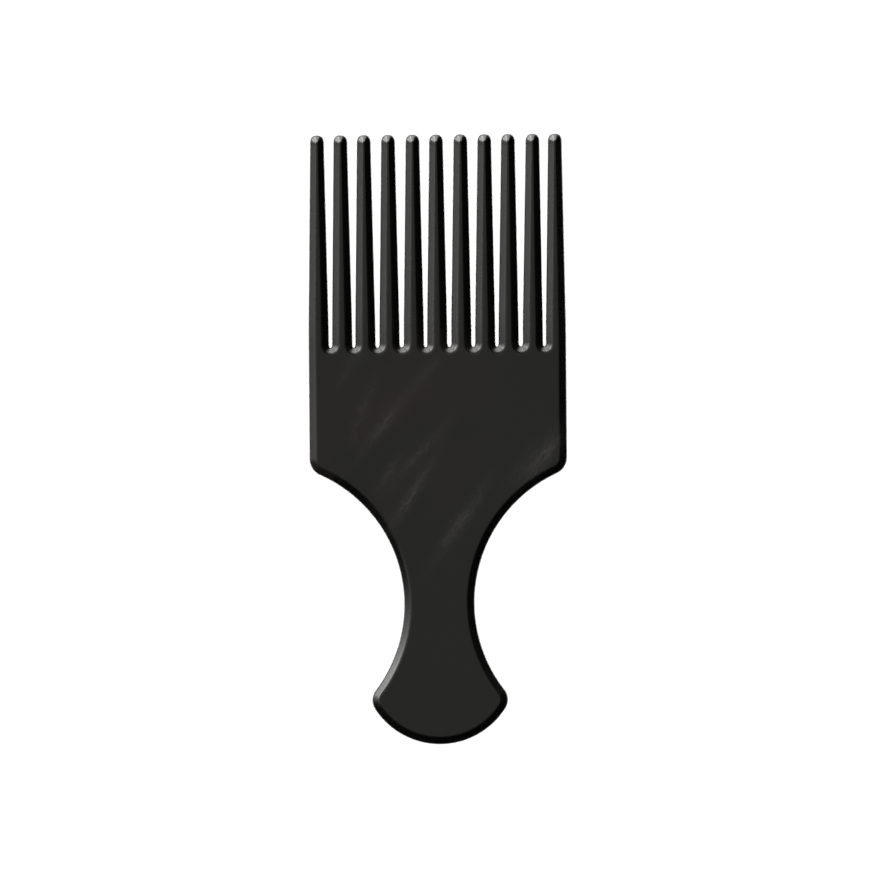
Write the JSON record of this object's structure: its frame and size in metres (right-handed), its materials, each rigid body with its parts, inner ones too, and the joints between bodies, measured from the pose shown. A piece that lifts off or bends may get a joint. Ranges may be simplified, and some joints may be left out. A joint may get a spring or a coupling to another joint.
{
  "type": "afro pick",
  "caption": "Flat moulded plastic hair pick: long straight tapered teeth with rounded tips on a bevelled rectangular blade, and a waisted handle with a flared round end.",
  "frame": {"origin": "middle of the outline's bounding rectangle, on the plane of the back face, so the pick lies on its back on z = 0", "axes": "+Y from the handle to the tooth tips, +X across the teeth to the right as seen from the front, +Z out of the front face"},
  "size_m": [0.0696, 0.1652, 0.0044],
  "materials": {
    "black_plastic": "satin moulded black plastic, slightly glossy on the bevels, with faint rub marks on the face"
  },
  "bodies": {
    "root": {"tooth_01": "black_plastic", "tooth_02": "black_plastic", "tooth_03": "black_plastic", "tooth_04": "black_plastic", "tooth_05": "black_plastic", "tooth_06": "black_plastic", "tooth_07": "black_plastic", "tooth_08": "black_plastic", "tooth_09": "black_plastic", "tooth_10": "black_plastic", "tooth_11": "black_plastic", "blade": "black_plastic", "handle": "black_plastic"}
  },
  "joints": []
}
